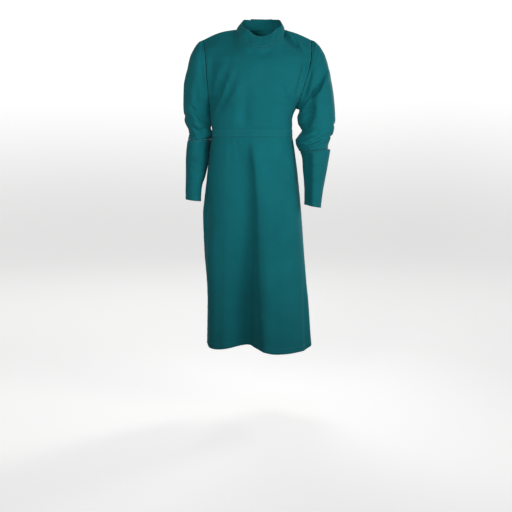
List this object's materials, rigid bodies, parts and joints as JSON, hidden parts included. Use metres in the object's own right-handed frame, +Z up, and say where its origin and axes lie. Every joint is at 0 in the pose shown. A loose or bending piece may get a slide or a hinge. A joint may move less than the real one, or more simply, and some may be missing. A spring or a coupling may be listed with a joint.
{
  "type": "surgical gown",
  "caption": "Long-sleeved surgical gown of green cotton, in its hollow worn form, with a stand collar, long cuffs, a waist band and a lapped back closed by ties.",
  "frame": {"origin": "between the shoulders, level with the sides of the neck, where the wearer carries the gown", "axes": "+Z up along the gown's length, -Y out of its front, +X towards the wearer's left"},
  "size_m": [0.616, 0.3323, 1.34],
  "materials": {
    "drill": "matt green cotton drill, one layer",
    "double_drill": "matt green cotton drill, two layers stitched together",
    "tape": "pressed and stitched strip of the same green cotton"
  },
  "bodies": {
    "root": {"front_panel": "drill", "back_left": "drill", "back_right": "drill", "sleeve_right": "drill", "sleeve_left": "drill", "cuff_right": "double_drill", "cuff_left": "double_drill", "collar": "double_drill", "waist_band": "tape", "waist_tie_left": "tape", "waist_tie_right": "tape", "waist_knot": "tape", "waist_tail_left": "tape", "waist_tail_right": "tape", "neck_knot": "tape", "neck_tail_left": "tape", "neck_tail_right": "tape"}
  },
  "joints": []
}
